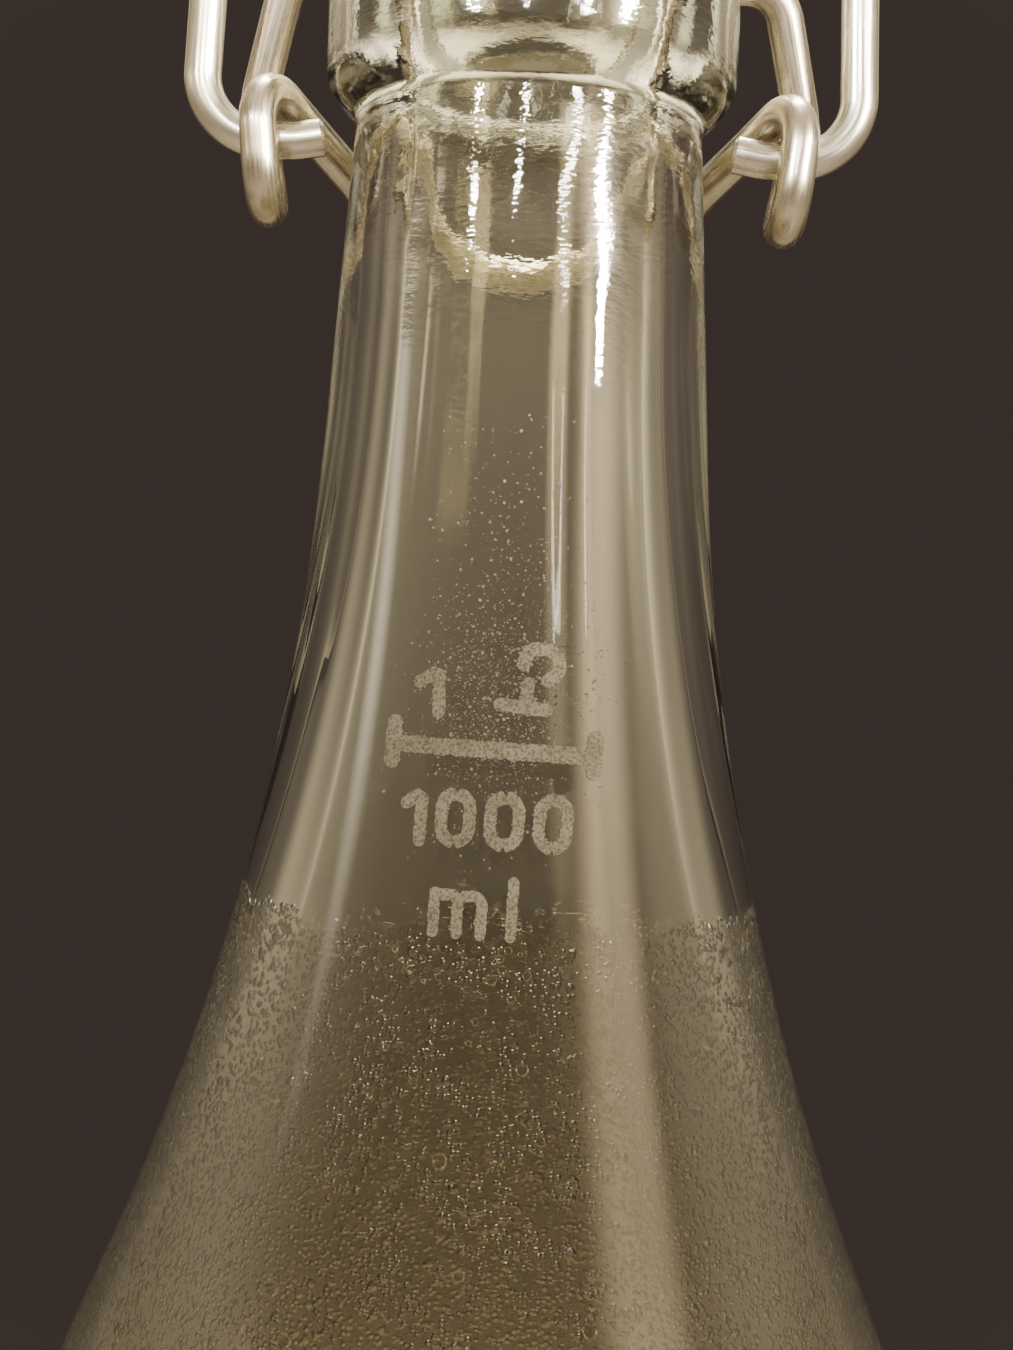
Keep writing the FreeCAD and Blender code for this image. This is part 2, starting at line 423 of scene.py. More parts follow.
def make_clear_glass(shader):
    shader.inputs["Transmission Weight"].default_value = 1.0
    shader.inputs["IOR"].default_value = GLASS_IOR
    shader.inputs["Base Color"].default_value = GLASS_TINT


def outer_glass():
    """Moulded glass with the fine ripple and slow waves of the neck and faint handling marks."""
    material, wiring, shader = new_material("outer_glass")
    make_clear_glass(shader)
    stretched = wiring.node("ShaderNodeMapping", Vector=wiring.object_place(), Scale=RIPPLE_STRETCH)
    ripple = wiring.noise(1.0, 2.0, stretched.outputs["Vector"])
    waves = wiring.math("MULTIPLY", wiring.noise(85.0, 1.0), WAVE_WEIGHT)
    rippled_neck = wiring.ramp(wiring.height(), RIPPLE_START, RIPPLE_FULL)
    relief = wiring.math("MULTIPLY", wiring.math("ADD", ripple, waves), rippled_neck)
    wiring.bump(shader, 1.0, RIPPLE_RELIEF, relief)
    smears = wiring.group(CLOUDY_MOTTLE, Scale=90.0, Detail=6.0)["Amount"]
    wiring.join(wiring.ramp(smears, 0.55, 1.0, 0.0, 0.09), shader.inputs["Roughness"])
    return material


def inner_glass():
    """The inside wall, with fine water drops below the old liquid line and uneven folds in the neck."""
    material, wiring, shader = new_material("inner_glass")
    make_clear_glass(shader)
    height = wiring.height()
    unevenness = wiring.math("SUBTRACT", wiring.noise(160.0, 3.0), 0.5)
    level = wiring.math("ADD", height, wiring.math("MULTIPLY", unevenness, MIST_RAGGEDNESS))
    below_line = wiring.ramp(level, MIST_TOP - MIST_EDGE, MIST_TOP, 1.0, 0.0)
    thinning = wiring.ramp(height, MIST_GONE_BELOW, MIST_FULL_BELOW)
    misted = wiring.math("MULTIPLY", below_line, thinning)
    wiring.join(wiring.blend(misted, GLASS_TINT, MIST_STAIN), shader.inputs["Base Color"])
    wiring.join(wiring.ramp(misted, 0.0, 1.0, 0.0, MIST_ROUGHNESS), shader.inputs["Roughness"])
    small = wiring.group(ROUND_DROPS, Scale=2700.0, Share=0.85, Reach=0.5)["Height"]
    large = wiring.group(ROUND_DROPS, Scale=1500.0, Share=0.25, Reach=0.5)["Height"]
    patches = wiring.group(CLOUDY_MOTTLE, Scale=420.0, Detail=4.0)["Amount"]
    thickness = wiring.ramp(patches, 0.2, 0.8, 0.65, 1.1)
    drops = wiring.math("ADD", small, wiring.math("MULTIPLY", large, 1.3))
    mist = wiring.math("MULTIPLY", wiring.math("MULTIPLY", drops, thickness), misted)
    folded_neck = wiring.ramp(height, FOLD_START, FOLD_FULL, 0.0, FOLD_WEIGHT)
    folds = wiring.math("MULTIPLY", wiring.noise(140.0, 2.0), folded_neck)
    wiring.bump(shader, 1.0, MIST_RELIEF, wiring.math("ADD", mist, folds))
    return material


def water():
    material, wiring, shader = new_material("water_drops")
    shader.inputs["Transmission Weight"].default_value = 1.0
    shader.inputs["IOR"].default_value = WATER_IOR
    film = wiring.group(CLOUDY_MOTTLE, Scale=500.0, Detail=2.0)["Amount"]
    wiring.join(wiring.ramp(film, 0.0, 1.0, 0.0, 0.04), shader.inputs["Roughness"])
    return material


def drawn_steel(name, light, dark, tarnish_scale):
    """Drawn wire: lines along its length from the die, with duller patches."""
    material, wiring, shader = new_material(name)
    shader.inputs["Metallic"].default_value = 1.0
    along_wire = wiring.node("ShaderNodeUVMap", uv_map="along_wire").outputs["UV"]
    stretched = wiring.node("ShaderNodeMapping", Vector=along_wire, Scale=(0.9, 46.0, 1.0))
    die_lines = wiring.noise(1.0, 4.0, stretched.outputs["Vector"])
    tarnish = wiring.group(CLOUDY_MOTTLE, Scale=tarnish_scale, Detail=6.0)["Amount"]
    grain = wiring.group(FINE_GRAIN, Scale=9000.0)["Height"]
    wiring.join(wiring.blend(tarnish, light, dark), shader.inputs["Base Color"])
    dulled = wiring.math("MULTIPLY", tarnish, 0.10)
    lined = wiring.math("ADD", dulled, wiring.ramp(die_lines, 0.3, 0.7, 0.17, 0.30))
    wiring.join(lined, shader.inputs["Roughness"])
    surface = wiring.math("ADD", die_lines, wiring.math("MULTIPLY", grain, 0.25))
    wiring.bump(shader, 0.5, 0.00002, surface)
    return material


def glazed_porcelain():
    """White glaze with a faint orange-peel surface, cloudy tone and small dark specks."""
    material, wiring, shader = new_material("glazed_porcelain")
    shader.inputs["Coat Weight"].default_value = 0.6
    shader.inputs["Coat Roughness"].default_value = 0.04
    cloud = wiring.group(CLOUDY_MOTTLE, Scale=140.0, Detail=4.0)["Amount"]
    glaze = wiring.blend(cloud, colour(0.56, 0.54, 0.49), colour(0.48, 0.455, 0.40))
    dots = wiring.group(ROUND_DROPS, Scale=420.0, Share=0.10, Reach=0.07)["Height"]
    speckled = wiring.blend(wiring.ramp(dots, 0.0, 0.6), glaze, colour(0.20, 0.15, 0.10))
    wiring.join(speckled, shader.inputs["Base Color"])
    wiring.join(wiring.ramp(cloud, 0.0, 1.0, 0.16, 0.30), shader.inputs["Roughness"])
    peel = wiring.group(FINE_GRAIN, Scale=900.0)["Height"]
    wiring.bump(shader, 0.35, 0.00003, peel)
    return material


def pale_rubber():
    """Moulded seal rubber with a pale bloom and a fine matt grain."""
    material, wiring, shader = new_material("pale_rubber")
    bloom = wiring.group(CLOUDY_MOTTLE, Scale=260.0, Detail=8.0)["Amount"]
    rubber = wiring.blend(bloom, colour(0.38, 0.32, 0.22), colour(0.46, 0.40, 0.30))
    wiring.join(rubber, shader.inputs["Base Color"])
    wiring.join(wiring.ramp(bloom, 0.0, 1.0, 0.52, 0.78), shader.inputs["Roughness"])
    grain = wiring.group(FINE_GRAIN, Scale=5200.0)["Height"]
    wiring.bump(shader, 0.6, 0.00005, grain)
    return material


def sandblasted_glass():
    """Glass roughened to a pale, grainy white."""
    material, wiring, shader = new_material("sandblasted_glass")
    grain = wiring.group(FINE_GRAIN, Scale=5200.0)["Height"]
    cloud = wiring.group(CLOUDY_MOTTLE, Scale=700.0, Detail=3.0)["Amount"]
    frosted = wiring.blend(cloud, colour(0.42, 0.41, 0.375), colour(0.33, 0.32, 0.285))
    wiring.join(frosted, shader.inputs["Base Color"])
    wiring.join(wiring.ramp(grain, 0.3, 0.7, 0.6, 0.95), shader.inputs["Roughness"])
    wiring.join(wiring.ramp(grain, 0.34, 0.58, 0.40, 1.0), shader.inputs["Alpha"])
    wiring.bump(shader, 0.8, 0.00006, grain)
    return material


def pale_floor_finish():
    material, wiring, shader = new_material("pale_floor")
    cloud = wiring.group(CLOUDY_MOTTLE, Scale=14.0, Detail=5.0)["Amount"]
    pale = wiring.blend(cloud, colour(0.40, 0.38, 0.345), colour(0.36, 0.345, 0.31))
    wiring.join(pale, shader.inputs["Base Color"])
    shader.inputs["Roughness"].default_value = 0.7
    return material


# Bottle

NECK_FOOT_HEIGHT = NECK_TOP_HEIGHT - NECK_LENGTH
NECK_FOOT_RADIUS = NECK_TOP_RADIUS + NECK_LENGTH * math.tan(NECK_TAPER)
INNER_RADIUS = BODY_RADIUS - WALL
PUNT_SPHERE_RADIUS = (PUNT_RADIUS ** 2 + PUNT_HEIGHT ** 2) / (2 * PUNT_HEIGHT)
OUTER_WANDER = 0.06
INNER_WANDER = 0.32
STEADY_LENGTH = 12
STEADY_EASE = 30
STEADY_WANDER_SHARE = 0.12
SLOW_WANDER_SHARE = 0.65
QUICK_WANDER_SHARE = 0.35
SEAM_HEIGHT = 0.05
SEAM_STEP = math.radians(0.22)
BASE_RINGS = 24


def shoulder_height(radius, inset):
    """Height where the shoulder's cone, moved inward by inset, has the given radius."""
    across = radius + inset / math.cos(SHOULDER_ANGLE) - NECK_FOOT_RADIUS
    return NECK_FOOT_HEIGHT - across / math.tan(SHOULDER_ANGLE)


def punt_height(radius, offset):
    """Height of the arched base at a radius; offset is 0 outside and the base's thickness inside."""
    centre = PUNT_HEIGHT - PUNT_SPHERE_RADIUS
    return centre + math.sqrt((PUNT_SPHERE_RADIUS + offset) ** 2 - radius ** 2)


def punt_points(radii, offset):
    return [Vector((radius, 0, punt_height(radius, offset))) for radius in radii]


OUTSIDE = outline([
    (PUNT_RADIUS, 0, 0),
    (BODY_RADIUS, 0, HEEL_RADIUS),
    (BODY_RADIUS, shoulder_height(BODY_RADIUS, 0), SHOULDER_BLEND),
    (NECK_FOOT_RADIUS, NECK_FOOT_HEIGHT, NECK_BLEND),
    (NECK_TOP_RADIUS, NECK_TOP_HEIGHT, BEAD_ROOT_ROUND),
    (FINISH_RADIUS, NECK_TOP_HEIGHT + BEAD_UNDERSIDE_RISE, BEAD_ROUND),
    (FINISH_RADIUS, LIP_HEIGHT, LIP_ROUND),
    (MOUTH_RADIUS + MOUTH_ROUND, LIP_HEIGHT, 0),
], BOTTLE_STEP)

INSIDE = [point for point in outline([
    (MOUTH_RADIUS + MOUTH_ROUND, LIP_HEIGHT, 0),
    (MOUTH_RADIUS, LIP_HEIGHT, MOUTH_ROUND),
    (BORE_RADIUS, LIP_HEIGHT - MOUTH_TAPER_LENGTH, 0),
    (BORE_RADIUS, shoulder_height(BORE_RADIUS, WALL), BORE_BLEND),
    (INNER_RADIUS, shoulder_height(INNER_RADIUS, WALL), SHOULDER_BLEND - WALL),
    (INNER_RADIUS, FLOOR_HEIGHT, INNER_HEEL_RADIUS),
    (0, FLOOR_HEIGHT, 0),
], BOTTLE_STEP) if point.z > punt_height(min(point.x, PUNT_RADIUS), BASE_THICKNESS)]


def radius_at(profile, height):
    """Radius of the wall at a height between the body and the neck's top."""
    for first, second in zip(profile, profile[1:]):
        low, high = sorted((first.z, second.z))
        if low <= height <= high and high - low > 1e-6:
            share = (height - first.z) / (second.z - first.z)
            return first.x + (second.x - first.x) * share
    raise ValueError(f"no wall at height {height}")


def wall_noise(angle, height, turns, stretch):
    """Smooth noise on the wall, drawn out along the bottle's height."""
    return noise.noise(Vector((turns * math.cos(angle), turns * math.sin(angle), height / stretch)))


def hollow_noise(angle, height, turns, stretch):
    """The same noise from 0 to 1, for walls that only wander inward."""
    return 0.5 + 0.5 * wall_noise(angle, height, turns, stretch)


def make_bottle():
    base_steps = [PUNT_RADIUS * step / BASE_RINGS for step in range(BASE_RINGS)]
    inner_edge = INSIDE[-1].x
    dome_steps = [inner_edge * step / BASE_RINGS for step in reversed(range(BASE_RINGS))]
    outside = punt_points(base_steps, 0) + OUTSIDE
    profile = outside + INSIDE[1:] + punt_points(dome_steps, BASE_THICKNESS)
    seams = (0.0, math.pi)
    near_seam = (-2 * SEAM_STEP, -SEAM_STEP, SEAM_STEP, 2 * SEAM_STEP)
    seam_angles = [(seam + step) % (2 * math.pi) for seam in seams for step in near_seam]
    angles = sorted(even_angles(BOTTLE_SIDES) + seam_angles)

    def wandering_wall(index, angle, radius, height):
        if index < len(outside):
            from_seam = min(abs((angle - seam + math.pi) % (2 * math.pi) - math.pi) for seam in seams)
            on_side = HEEL_RADIUS < height < NECK_TOP_HEIGHT - BEAD_ROOT_ROUND
            ridge = SEAM_HEIGHT * max(0.0, 1 - from_seam / (2 * SEAM_STEP)) if on_side else 0.0
            wander = OUTER_WANDER * hollow_noise(angle, height, 1.5, 40)
            return radius - wander - SEAM_HEIGHT + ridge
        below_finish = (LIP_HEIGHT - STEADY_LENGTH - height) / STEADY_EASE
        freedom = min(1.0, max(STEADY_WANDER_SHARE, below_finish))
        slow = SLOW_WANDER_SHARE * wall_noise(angle, height, 2.0, 55)
        quick = QUICK_WANDER_SHARE * wall_noise(angle + 1, height, 6.0, 90)
        return radius + INNER_WANDER * freedom * (slow + quick)

    mesh = turned_mesh("bottle_glass", profile, angles, wandering_wall)
    mesh.materials.append(outer_glass())
    mesh.materials.append(inner_glass())
    first_inside = len(outside) * len(angles)
    for face in mesh.polygons:
        face.material_index = 1 if min(face.vertices) >= first_inside else 0
    bottle = add_object("bottle_glass", mesh)
    dimple_bottom = FINISH_RADIUS - DIMPLE_DEPTH
    dimple = outline([
        (0, dimple_bottom, 0),
        (DIMPLE_RADIUS, dimple_bottom, DIMPLE_RADIUS),
        (DIMPLE_RADIUS, FINISH_RADIUS + DIMPLE_RADIUS, 0),
        (0, FINISH_RADIUS + DIMPLE_RADIUS, 0),
    ], DIMPLE_STEP)
    cut_away(bottle, [cutter_along_x("dimple", dimple, PIVOT_HEIGHT, side) for side in (1, -1)])
    return dressed(bottle)


# Water drops on the inside wall, in millimetres; a drop's steps are (share of radius, share of rise)

DROP_COUNT = 1500
DROP_SIDES = 10
DROP_SEED = 11
DROP_TOP_GAP = 0.6
DROP_BAND = 150
DROP_CROWDING = 1.3
LINE_DROP_SHARE = 0.12
LINE_DROP_BAND = 2.0
DROP_LEAST_RADIUS = 0.10
DROP_MOST_RADIUS = 0.55
DROP_RARITY = 9.0
DROP_RISE = 0.9
DROP_MOST_STRETCH = 1.35
DROP_SINK = 0.25 * INNER_WANDER
DROP_STEPS = ((1.0, 0.0), (0.92, 0.45), (0.62, 0.80))


def add_drop(shape, foot, inward, across, radius, stretch):
    """A closed dome whose flat side is at foot, standing out along inward."""
    up = Vector((0, 0, 1))
    rings = []
    for share, rise in DROP_STEPS:
        middle = foot + inward * (DROP_RISE * radius * rise)
        ring = []
        for turn in even_angles(DROP_SIDES):
            offset = across * math.cos(turn) + up * (math.sin(turn) * stretch)
            ring.append(shape.verts.new((middle + offset * (radius * share)) * MM))
        rings.append(ring)
    top = shape.verts.new((foot + inward * (DROP_RISE * radius)) * MM)
    for lower, upper in zip(rings, rings[1:]):
        for side in range(DROP_SIDES):
            after = (side + 1) % DROP_SIDES
            shape.faces.new((lower[side], lower[after], upper[after], upper[side]))
    for side in range(DROP_SIDES):
        shape.faces.new((rings[-1][side], rings[-1][(side + 1) % DROP_SIDES], top))
    shape.faces.new(list(reversed(rings[0])))


def make_inner_drops():
    """Larger drops, thickest just under the liquid line."""
    chance = random.Random(DROP_SEED)
    shape = bmesh.new()
    for _ in range(DROP_COUNT):
        angle = chance.uniform(0, 2 * math.pi)
        at_line = chance.random() < LINE_DROP_SHARE
        if at_line:
            depth = chance.uniform(0, LINE_DROP_BAND)
        else:
            depth = chance.uniform(0, 1) ** DROP_CROWDING * DROP_BAND
        height = MIST_TOP / MM - DROP_TOP_GAP - depth
        radius = min(DROP_MOST_RADIUS, DROP_LEAST_RADIUS + chance.expovariate(DROP_RARITY))
        stretch = chance.uniform(1.0, DROP_MOST_STRETCH)
        outward = radius_at(INSIDE, height) + DROP_SINK
        inward = Vector((-math.cos(angle), -math.sin(angle), 0))
        across = Vector((-math.sin(angle), math.cos(angle), 0))
        foot = inward * -outward + Vector((0, 0, height))
        add_drop(shape, foot, inward, across, radius, stretch)
    return dressed(add_object("inner_drops", mesh_of("inner_drops", shape)), [water()], 80)


# Capacity mark in millimetres: each piece has its stroke width and its strokes, and a stroke is a list
# of (across, above, corner radius) from the middle of the fill line

MARK_TILT = math.radians(-1.6)
MARK_PROUD = 0.03
MARK_SUNK = 0.12
MARK_STEP = 0.14
MARK_LANES = 6
MARK_SEED = 5
STROKE_END_SHARES = (0.97, 0.85, 0.6, 0.3)
STROKE_RAGGEDNESS = (0.86, 1.10)
NOUGHT_HALF_WIDTH = 0.95
NOUGHT_GAP = 0.28
NOUGHT_ROUND = 0.9
NOUGHT_LOW = -6.2
NOUGHT_HIGH = -3.1


def nought_strokes(middle):
    """A nought as two bows with stencil gaps at its top and bottom."""
    bows = []
    for side in (-1, 1):
        inner = middle + side * NOUGHT_GAP
        outer = middle + side * NOUGHT_HALF_WIDTH
        bows.append([
            (inner, NOUGHT_HIGH, 0),
            (outer, NOUGHT_HIGH, NOUGHT_ROUND),
            (outer, NOUGHT_LOW, NOUGHT_ROUND),
            (inner, NOUGHT_LOW, 0),
        ])
    return bows


MARK_PIECES = {
    "fill_line": (1.15, [
        [(-7.6, 0.0, 0), (6.1, 0.0, 0)],
        [(-7.75, 1.35, 0), (-7.75, -1.15, 0)],
        [(6.35, 1.2, 0), (6.35, -1.0, 0)],
    ]),
    "litre_number": (0.90, [
        [(-6.1, 4.25, 0), (-4.75, 5.1, 0.3), (-4.6, 2.3, 0)],
    ]),
    "litre_letter": (0.95, [
        [(1.0, 5.9, 0), (1.2, 7.0, 0.8), (3.4, 7.0, 1.0), (3.4, 5.4, 0.6), (2.7, 4.9, 0)],
        [(1.4, 4.6, 0), (1.25, 3.5, 0)],
        [(-0.4, 3.1, 0), (2.7, 2.9, 0)],
    ]),
    "capacity_number": (0.85, [
        [(-6.4, -3.9, 0), (-5.3, -3.1, 0.3), (-5.3, -6.3, 0)],
        *nought_strokes(-2.9),
        *nought_strokes(0.4),
        *nought_strokes(3.7),
    ]),
    "capacity_unit": (0.75, [
        [(-3.9, -9.6, 0), (-3.9, -12.1, 0)],
        [(-3.5, -9.7, 0), (-2.3, -9.6, 0.6), (-2.3, -12.1, 0)],
        [(-1.9, -9.7, 0), (-0.7, -9.6, 0.6), (-0.7, -12.1, 0)],
        [(1.3, -8.6, 0), (1.3, -12.1, 0)],
    ]),
}


def on_front(across, above, proud):
    """A point on the outside wall, from its place in the mark."""
    turned_across = across * math.cos(MARK_TILT) - above * math.sin(MARK_TILT)
    height = FILL_LINE_HEIGHT + across * math.sin(MARK_TILT) + above * math.cos(MARK_TILT)
    wall = radius_at(OUTSIDE, height)
    angle = turned_across / wall
    radius = wall + proud
    return Vector((radius * math.sin(angle), -radius * math.cos(angle), height)) * MM


def add_stroke(shape, corners, width, chance):
    """A ragged, round-ended band along a stroke, as a thin closed solid let into the wall."""
    placed = [(Vector((across, above, 0)), rounding) for across, above, rounding in corners]
    path = rounded_points(placed, MARK_STEP)
    first_way = (path[1] - path[0]).normalized()
    last_way = (path[-1] - path[-2]).normalized()
    half = width / 2
    overruns = [half * share for share in STROKE_END_SHARES]
    stations = [(path[0] - first_way * run, first_way, run) for run in overruns]
    for index, point in enumerate(path):
        way = (path[min(index + 1, len(path) - 1)] - path[max(index - 1, 0)]).normalized()
        stations.append((point, way, 0.0))
    stations += [(path[-1] + last_way * run, last_way, run) for run in reversed(overruns)]
    fronts = []
    backs = []
    for point, way, run in stations:
        across_way = Vector((-way.y, way.x, 0))
        reach = math.sqrt(half ** 2 - run ** 2)
        left = -reach * chance.uniform(*STROKE_RAGGEDNESS)
        right = reach * chance.uniform(*STROKE_RAGGEDNESS)
        lanes = [left + (right - left) * lane / MARK_LANES for lane in range(MARK_LANES + 1)]
        spots = [point + across_way * lane for lane in lanes]
        fronts.append([shape.verts.new(on_front(spot.x, spot.y, MARK_PROUD)) for spot in spots])
        backs.append([shape.verts.new(on_front(spot.x, spot.y, -MARK_SUNK)) for spot in spots])
    for sheet in (fronts, backs):
        for row, after in zip(sheet, sheet[1:]):
            add_strip(shape, row, after)
    left_edges = [[row[0] for row in sheet] for sheet in (fronts, backs)]
    right_edges = [[row[-1] for row in sheet] for sheet in (fronts, backs)]
    add_strip(shape, *left_edges)
    add_strip(shape, *right_edges)
    add_strip(shape, fronts[0], backs[0])
    add_strip(shape, fronts[-1], backs[-1])


def make_mark(name, width, strokes, finish, chance):
    shape = bmesh.new()
    for corners in strokes:
        add_stroke(shape, corners, width, chance)
    return dressed(add_object(name, mesh_of(name, shape)), [finish])


# Overspray in millimetres: near specks gather above the line, stray ones spread over the whole height

SPECK_COUNT = 2600
SPECK_SIDES = 6
SPECK_SEED = 23
SPECK_ACROSS = (-0.4, 2.6)
NEAR_SPECK_SHARE = 0.6
NEAR_SPECK_ABOVE = (3.0, 3.6)
STRAY_SPECK_ABOVE = (-9.0, 24.0, 5.0)
SPECK_LEAST_RADIUS = 0.022
SPECK_MOST_RADIUS = 0.12
SPECK_RARITY = 45.0
SPECK_RAGGEDNESS = (0.7, 1.2)
SPECK_RIM_SHARE = 0.4


def make_overspray(finish):
    """Stray pits of the blasting around and above the mark, each a small closed cap."""
    chance = random.Random(SPECK_SEED)
    shape = bmesh.new()
    for _ in range(SPECK_COUNT):
        across = chance.gauss(*SPECK_ACROSS)
        if chance.random() < NEAR_SPECK_SHARE:
            above = chance.gauss(*NEAR_SPECK_ABOVE)
        else:
            above = chance.triangular(*STRAY_SPECK_ABOVE)
        radius = min(SPECK_MOST_RADIUS, SPECK_LEAST_RADIUS + chance.expovariate(SPECK_RARITY))
        ring = []
        for angle in even_angles(SPECK_SIDES):
            reach = radius * chance.uniform(*SPECK_RAGGEDNESS)
            ring.append((across + reach * math.cos(angle), above + reach * math.sin(angle)))
        front = [shape.verts.new(on_front(*spot, MARK_PROUD * SPECK_RIM_SHARE)) for spot in ring]
        back = [shape.verts.new(on_front(*spot, -MARK_SUNK)) for spot in ring]
        top = shape.verts.new(on_front(across, above, MARK_PROUD))
        for side in range(SPECK_SIDES):
            after = (side + 1) % SPECK_SIDES
            shape.faces.new((front[side], front[after], top))
            shape.faces.new((front[side], back[side], back[after], front[after]))
        shape.faces.new(back)
    return dressed(add_object("mark_overspray", mesh_of("mark_overspray", shape)), [finish])


# Wires in millimetres; a path's corners are (point, bend radius)

LEVER_TIP_X = 12.9
ARM_TOP_X = 18.4
ARM_TOP_BEND = 3.0
ARM_FOOT_X = 20.9
ARM_FOOT_HEIGHT = 294.8
ARM_FOOT_BEND = 8.0
EYE_BACK_Y = 2.3
EYE_FRONT_Y = -4.3
EYE_BOTTOM_X = 19.3
EYE_BOTTOM_HEIGHT = 286.8
EYE_FRONT_X = 20.3
EYE_BEND = 3.0
HANDLE_START_X = 17.0
HANDLE_START_Y = 2.5
HANDLE_START_BEND = 8.0
HANDLE_KNEE_X = 13.4
HANDLE_KNEE_BEND = 10.0
LOOP_X = 9.0
LOOP_BEND = 12.0
HOOK_TIP_X = 15.2
HOOK_TIP_HEIGHT = 292.2
HOOK_START_X = 17.4
HOOK_START_BEND = 5.0
LEG_FOOT_X = 24.7
LEG_FOOT_BEND = 4.8
LEG_TOP_X = 23.7
LEG_TOP_BEND = 5.0
WIRE_WEAR = 0.012
WEAR_SCALE = 0.35
CUT_EASE = 0.25
UV_LENGTH = 10


def mirrored_path(half):
    """The corners of one half, then the same corners mirrored across X in the opposite order."""
    return half + [((-x, y, z), radius) for (x, y, z), radius in reversed(half)]


def on_handle_slope(x, y):
    over_hook = (2 * WIRE_RADIUS + HOOK_CLEARANCE) / math.cos(HANDLE_SLOPE)
    return (x, y, HOOK_HEIGHT + over_hook - (y - HOOK_Y) * math.tan(HANDLE_SLOPE))


HANDLE_KNEE = on_handle_slope(HANDLE_KNEE_X, HANDLE_KNEE_Y)
LOOP_HEIGHT = HANDLE_KNEE[2] - (LOOP_Y - HANDLE_KNEE_Y) * math.tan(LOOP_SLOPE)

LEVER_PATH = mirrored_path([
    ((LEVER_TIP_X, 0.0, PIVOT_HEIGHT), 0),
    ((ARM_TOP_X, 0.0, PIVOT_HEIGHT), ARM_TOP_BEND),
    ((ARM_FOOT_X, EYE_BACK_Y, ARM_FOOT_HEIGHT), ARM_FOOT_BEND),
    ((EYE_BOTTOM_X, EYE_BACK_Y, EYE_BOTTOM_HEIGHT), EYE_BEND),
    ((EYE_BOTTOM_X, EYE_FRONT_Y, EYE_BOTTOM_HEIGHT), EYE_BEND),
    (on_handle_slope(EYE_FRONT_X, EYE_FRONT_Y), EYE_BEND),
    (on_handle_slope(HANDLE_START_X, HANDLE_START_Y), HANDLE_START_BEND),
    (HANDLE_KNEE, HANDLE_KNEE_BEND),
    ((LOOP_X, LOOP_Y, LOOP_HEIGHT), LOOP_BEND),
])

BAIL_PATH = mirrored_path([
    ((HOOK_TIP_X, HOOK_Y, HOOK_TIP_HEIGHT), 0),
    ((HOOK_START_X, HOOK_Y, HOOK_HEIGHT), HOOK_START_BEND),
    ((LEG_FOOT_X, HOOK_Y, HOOK_HEIGHT), LEG_FOOT_BEND),
    ((LEG_TOP_X, 0.0, BAR_HEIGHT), LEG_TOP_BEND),
])


def wire_stations(path):
    """(point, direction, radius) along a path, with the cut ends eased."""
    last = len(path) - 1
    ways = []
    for index in range(len(path)):
        ways.append((path[min(index + 1, last)] - path[max(index - 1, 0)]).normalized())
    first_way = ways[0]
    last_way = ways[-1]
    inner = [(point, way, WIRE_RADIUS) for point, way in zip(path[2:-2], ways[2:-2])]
    return [
        (path[0], first_way, WIRE_RADIUS - CUT_EASE),
        (path[0] + first_way * CUT_EASE, first_way, WIRE_RADIUS),
        *inner,
        (path[-1] - last_way * CUT_EASE, last_way, WIRE_RADIUS),
        (path[-1], last_way, WIRE_RADIUS - CUT_EASE),
    ]


def make_wire(name, corners, finish):
    """Round wire along a bent path; its UV map runs along and around the wire."""
    path = rounded_points([(Vector(point), radius) for point, radius in corners], WIRE_STEP)
    stations = wire_stations(path)
    shape = bmesh.new()
    rings = []
    lengths = []
    travelled = 0.0
    sideways = stations[0][1].orthogonal().normalized()
    for index, (point, way, radius) in enumerate(stations):
        sideways = (sideways - way * sideways.dot(way)).normalized()
        upward = way.cross(sideways)
        if index:
            travelled += (point - stations[index - 1][0]).length
        lengths.append(travelled)
        ring = []
        for angle in even_angles(WIRE_SIDES):
            around = sideways * math.cos(angle) + upward * math.sin(angle)
            worn = radius * (1 - WIRE_WEAR * max(0.0, noise.noise(point * WEAR_SCALE + around)))
            ring.append(shape.verts.new((point + around * worn) * MM))
        rings.append(ring)
    layer = shape.loops.layers.uv.new("along_wire")
    for row in range(len(rings) - 1):
        for side in range(WIRE_SIDES):
            places = ((row, side), (row, side + 1), (row + 1, side + 1), (row + 1, side))
            face = shape.faces.new([rings[station][turn % WIRE_SIDES] for station, turn in places])
            for loop, (station, turn) in zip(face.loops, places):
                loop[layer].uv = (lengths[station] / UV_LENGTH, turn / WIRE_SIDES)
    shape.faces.new(list(reversed(rings[0])))
    shape.faces.new(rings[-1])
    return dressed(add_object(name, mesh_of(name, shape)), [finish])


# Stopper and seal

EDGE_EASE = 0.25
PLUG_TIP_ROUND = 1.0
FLARE_ROUND = 0.8
STOPPER_WANDER = 0.05
SEAL_WANDER = 0.06
GROOVE_DEPTH = 0.12
GROOVE_INNER_RADIUS = 9.2
GROOVE_FLOOR_INNER_RADIUS = 9.9
GROOVE_FLOOR_OUTER_RADIUS = 11.2
GROOVE_OUTER_RADIUS = 11.4
GROOVE_ROUND = 0.4
GROOVE_EDGE_ROUND = 0.1
STEADY_HOLE_WALL = 0.1


